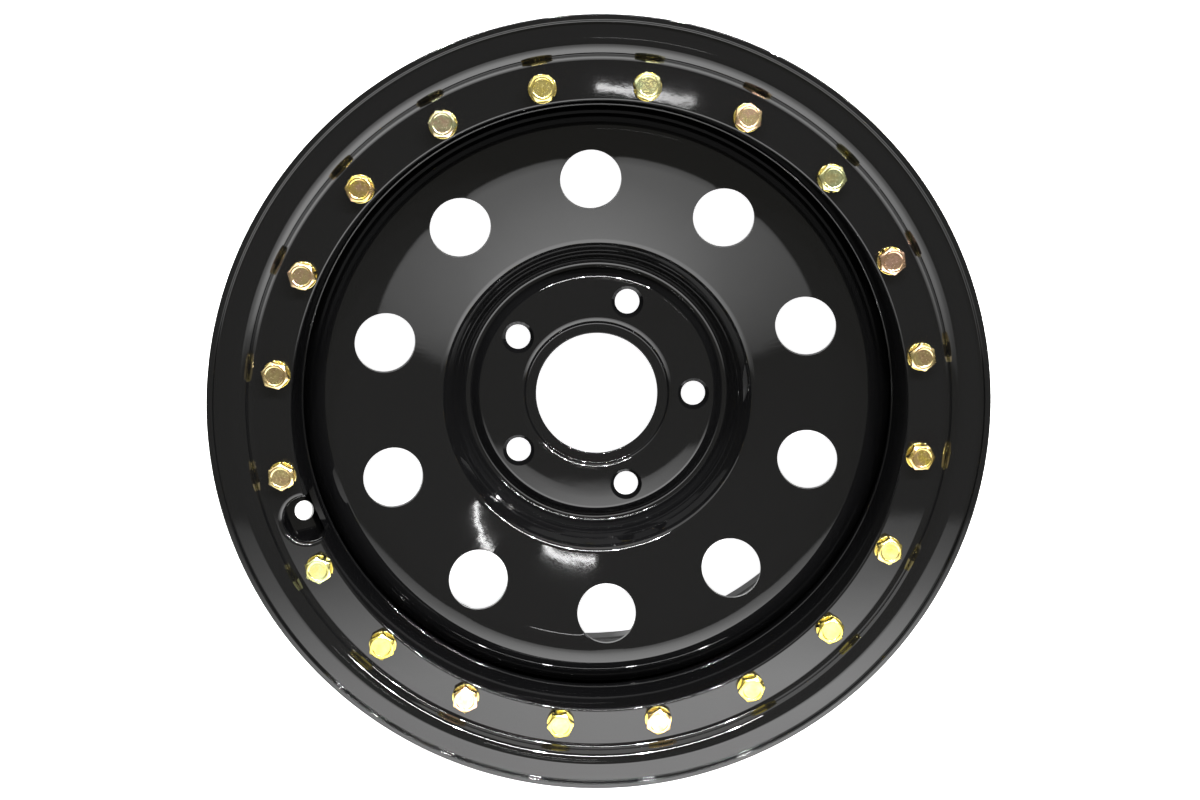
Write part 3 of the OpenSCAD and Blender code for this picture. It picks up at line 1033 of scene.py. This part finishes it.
def ramp(tree, source, low, high, stops):
    """A value between low and high turned into a share by a table of stops."""
    spread = tree.nodes.new("ShaderNodeMapRange")
    spread.inputs["From Min"].default_value = low
    spread.inputs["From Max"].default_value = high
    tree.links.new(source, spread.inputs["Value"])
    node = tree.nodes.new("ShaderNodeValToRGB")
    elements = node.color_ramp.elements
    elements.remove(elements[1])
    for i, (position, value) in enumerate(stops):
        stop = elements.new(position) if i else elements[0]
        stop.position, stop.color = position, (value, value, value, 1)
    tree.links.new(spread.outputs["Result"], node.inputs["Fac"])
    return node.outputs["Color"]


def glow_sheet():
    """An upright sheet of light, unseen by the camera, that fades with height and to both sides."""
    deselect()
    place = ((TABLE_LEFT + TABLE_RIGHT) / 2, TABLE_Y, TABLE_HEIGHT / 2)
    bpy.ops.mesh.primitive_plane_add(size=1, location=place, rotation=(math.radians(90), 0, 0))
    sheet = bpy.context.object
    sheet.name = "stage_table"
    sheet.scale = (TABLE_RIGHT - TABLE_LEFT, TABLE_HEIGHT, 1)
    apply_place(sheet)
    material = bpy.data.materials.new("table_glow")
    material.use_nodes = True
    tree = material.node_tree
    tree.nodes.remove(tree.nodes["Principled BSDF"])
    axes = tree.nodes.new("ShaderNodeSeparateXYZ")
    tree.links.new(tree.nodes.new("ShaderNodeTexCoord").outputs["Object"], axes.inputs[0])
    both = tree.nodes.new("ShaderNodeMath")
    both.operation = "MULTIPLY"
    tree.links.new(ramp(tree, axes.outputs["Z"], 0, TABLE_HEIGHT, TABLE_BY_HEIGHT), both.inputs[0])
    tree.links.new(ramp(tree, axes.outputs["X"], TABLE_LEFT, TABLE_RIGHT, TABLE_BY_SIDE), both.inputs[1])
    strength = tree.nodes.new("ShaderNodeMath")
    strength.operation = "MULTIPLY"
    strength.inputs[1].default_value = TABLE_STRENGTH
    tree.links.new(both.outputs[0], strength.inputs[0])
    glow = tree.nodes.new("ShaderNodeEmission")
    tree.links.new(strength.outputs[0], glow.inputs["Strength"])
    # The glow is added to a clear sheet, so that its dark parts hide nothing
    through = tree.nodes.new("ShaderNodeAddShader")
    tree.links.new(glow.outputs[0], through.inputs[0])
    tree.links.new(tree.nodes.new("ShaderNodeBsdfTransparent").outputs[0], through.inputs[1])
    tree.links.new(through.outputs[0], tree.nodes["Material Output"].inputs["Surface"])
    sheet.data.materials.append(material)
    sheet.visible_camera = False


def area_lamp(name, place, aim, width, height, radiance):
    """A rectangular lamp of a given radiance, unseen by the camera."""
    data = bpy.data.lights.new(name, "AREA")
    data.shape = "RECTANGLE"
    data.size, data.size_y = width, height
    data.energy = radiance * width * height * math.pi
    lamp = bpy.data.objects.new(name, data)
    bpy.context.scene.collection.objects.link(lamp)
    lamp.location = place
    lamp.rotation_euler = (Vector(aim) - Vector(place)).to_track_quat("-Z", "Y").to_euler()
    lamp.visible_camera = False
    return lamp


def camera_ray_strength(tree, reflected):
    """The camera ray flag, and a strength of 1 to the camera and of reflected to all other rays."""
    flag = tree.nodes.new("ShaderNodeLightPath").outputs["Is Camera Ray"]
    node = tree.nodes.new("ShaderNodeMapRange")
    node.inputs["To Min"].default_value = reflected
    node.inputs["To Max"].default_value = 1.0
    tree.links.new(flag, node.inputs["Value"])
    return flag, node.outputs["Result"]


class WHEEL_OT_stage(bpy.types.Operator):
    """Sets the pale floor, the lamps, the world and the camera"""

    bl_idname = "wheel.stage"
    bl_label = "Stage"

    def execute(self, context):
        scene = context.scene
        scene.view_settings.view_transform = "Standard"
        deselect()
        bpy.ops.mesh.primitive_circle_add(
            vertices=SMALL_ROUND_STEPS, radius=FLOOR_RADIUS, fill_type="NGON", location=(0, 0, 0)
        )
        floor = bpy.context.object
        floor.name = "stage_floor"
        material, tree, surface = new_material("pale_floor")
        surface.inputs["Base Color"].default_value = FLOOR_PAINT
        surface.inputs["Roughness"].default_value = FLOOR_ROUGHNESS
        surface.inputs["Emission Color"].default_value = WHITE
        _, strength = camera_ray_strength(tree, FLOOR_REFLECTED)
        tree.links.new(strength, surface.inputs["Emission Strength"])
        floor.data.materials.append(material)

        glow_sheet()
        for i, x in enumerate(LAMPS_X):
            lamp = bpy.data.objects.new(f"ceiling_lamp_{i + 1}", bpy.data.lights.new("ceiling_lamp", "POINT"))
            scene.collection.objects.link(lamp)
            lamp.data.energy = LAMP_POWER
            lamp.data.shadow_soft_size = LAMP_RADIUS
            lamp.location = (x, LAMPS_Y, CEILING)
            lamp.visible_camera = False
        area_lamp(*STRIP)
        area_lamp(*WALL)
        for x, y, length, width, turn, radiance in TUBES:
            tube = area_lamp("ceiling_tube", (x, y, CEILING), (x, y, 0), length, width, radiance)
            tube.rotation_euler.z = math.radians(turn)

        world = bpy.data.worlds.new("dim_room")
        scene.world = world
        world.use_nodes = True
        tree = world.node_tree
        back = tree.nodes["Background"]
        flag, strength = camera_ray_strength(tree, SKY_REFLECTED)
        tint = tree.nodes.new("ShaderNodeMix")
        tint.data_type = "RGBA"
        tint.inputs[6].default_value = SKY_TINT
        tint.inputs[7].default_value = WHITE
        tree.links.new(flag, tint.inputs["Factor"])
        tree.links.new(tint.outputs[2], back.inputs["Color"])
        tree.links.new(strength, back.inputs["Strength"])

        data = bpy.data.cameras.new("camera")
        data.lens, data.sensor_width = CAMERA_LENS, CAMERA_SENSOR
        camera = bpy.data.objects.new("camera", data)
        scene.collection.objects.link(camera)
        camera.location = CAMERA_PLACE
        camera.rotation_euler = [math.radians(angle) for angle in CAMERA_TURN]
        scene.camera = camera
        return {"FINISHED"}


# ---------------------------------------------------------------- Add-on


class WHEEL_PT_panel(bpy.types.Panel):
    """Buttons for the wheel's pieces and its stage"""

    bl_idname = "WHEEL_PT_panel"
    bl_label = "Steel wheel"
    bl_space_type = "VIEW_3D"
    bl_region_type = "UI"
    bl_category = "Wheel"

    def draw(self, context):
        for operator in OPERATORS:
            self.layout.operator(operator.bl_idname)


SETTINGS = {
    "wheel_rim": RimSizes,
    "wheel_disc": DiscSizes,
    "wheel_ring": RingSizes,
    "wheel_screws": ScrewSizes,
    "wheel_finishes": Finishes,
}
OPERATORS = (
    WHEEL_OT_stage,
    WHEEL_OT_rim,
    WHEEL_OT_disc,
    WHEEL_OT_ring,
    WHEEL_OT_screws,
    WHEEL_OT_washers,
    WHEEL_OT_welds,
)


def register():
    """Registers the sizes, the operators and the panel."""
    for group in SETTINGS.values():
        bpy.utils.register_class(group)
    for name, group in SETTINGS.items():
        setattr(bpy.types.Scene, name, PointerProperty(type=group))
    for cls in (*OPERATORS, WHEEL_PT_panel):
        bpy.utils.register_class(cls)


def unregister():
    """Takes everything back that register has set."""
    for cls in (WHEEL_PT_panel, *reversed(OPERATORS)):
        bpy.utils.unregister_class(cls)
    for name, group in SETTINGS.items():
        delattr(bpy.types.Scene, name)
        bpy.utils.unregister_class(group)


def main():
    """Builds everything."""
    register()
    deselect()
    for step in (
        bpy.ops.wheel.stage,
        bpy.ops.wheel.rim,
        bpy.ops.wheel.disc,
        bpy.ops.wheel.ring,
        bpy.ops.wheel.screws,
        bpy.ops.wheel.washers,
        bpy.ops.wheel.welds,
    ):
        if step() != {"FINISHED"}:
            raise RuntimeError("a step did not finish")


if __name__ == "__main__":
    main()
